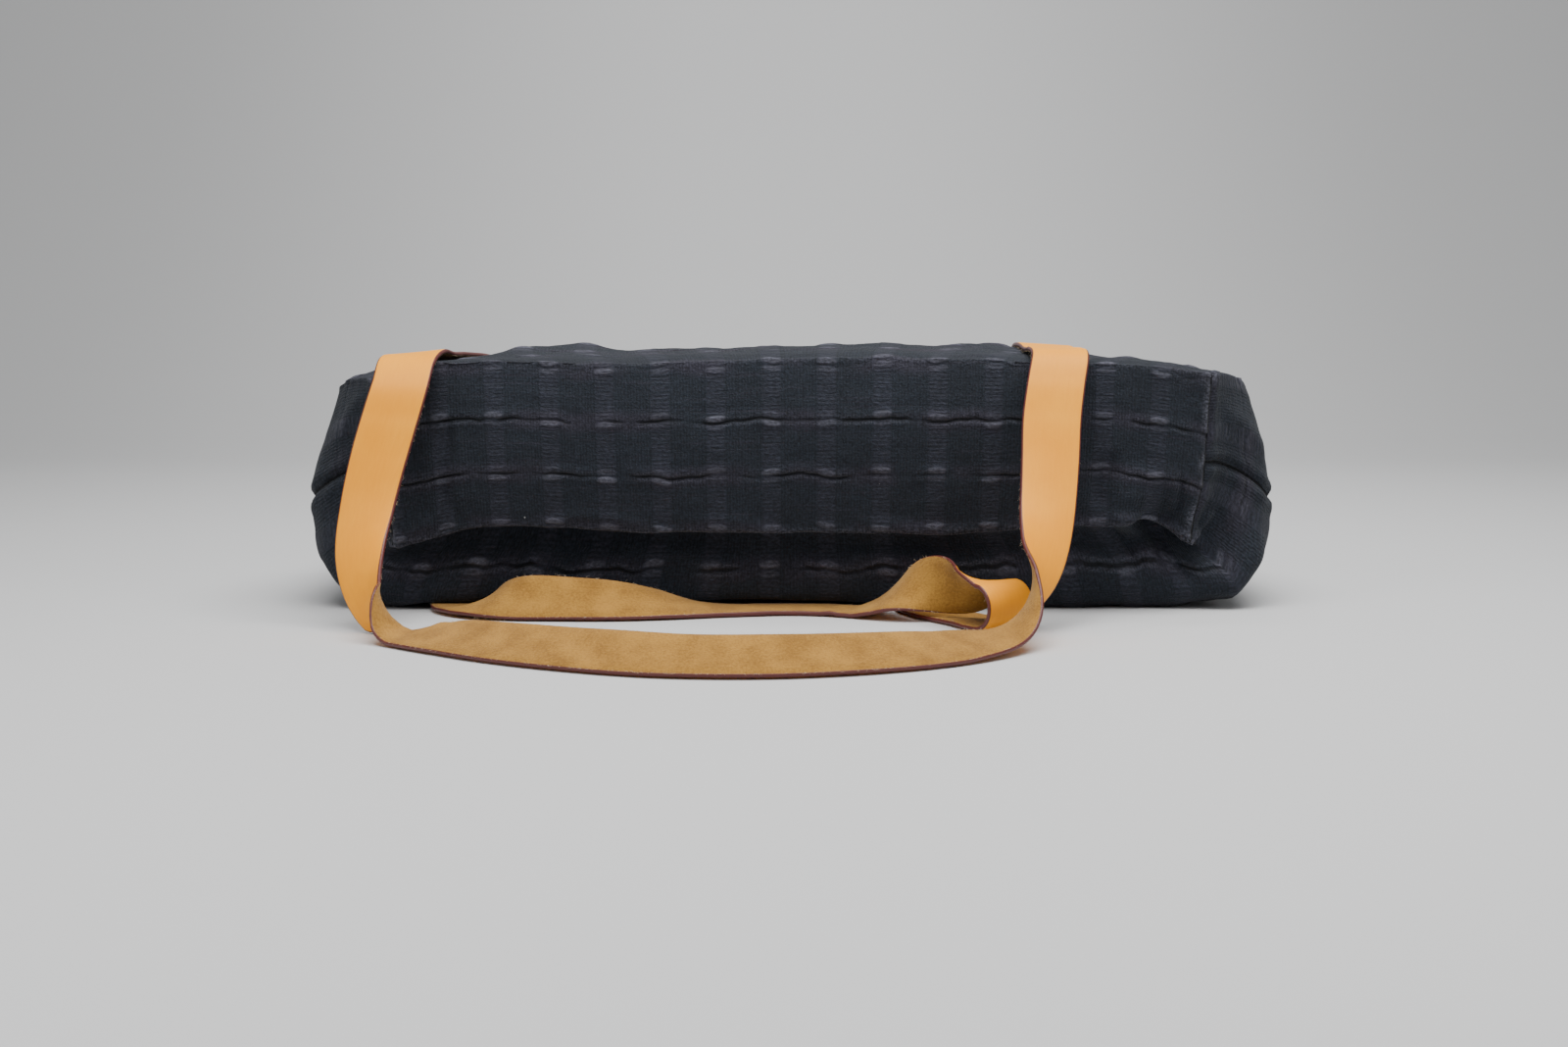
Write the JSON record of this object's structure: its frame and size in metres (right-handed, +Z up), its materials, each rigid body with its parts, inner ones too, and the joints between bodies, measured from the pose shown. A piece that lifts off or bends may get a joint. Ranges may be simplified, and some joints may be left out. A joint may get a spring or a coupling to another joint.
{
  "type": "tote bag",
  "caption": "Soft cloth tote bag lying on its back, boxed base in front, open mouth behind, with long leather handles draped over and tucked under it.",
  "frame": {"origin": "on the floor, a point of the flat patch of cloth that the bag rests on, on the body's centre line", "axes": "+X to the right along the base panel, which is the longest way, +Y back from the base to the mouth, +Z up from the floor"},
  "size_m": [0.4462, 0.4403, 0.1187],
  "materials": {
    "cloth": "dark blue-black windowpane cloth with crinkled lines, matt",
    "leather": "tan vegetable-tanned leather, smooth outside, suede inside, dark red painted edges"
  },
  "bodies": {
    "root": {"bag_body": "cloth", "top_handle": "leather", "under_handle": "leather"}
  },
  "joints": []
}
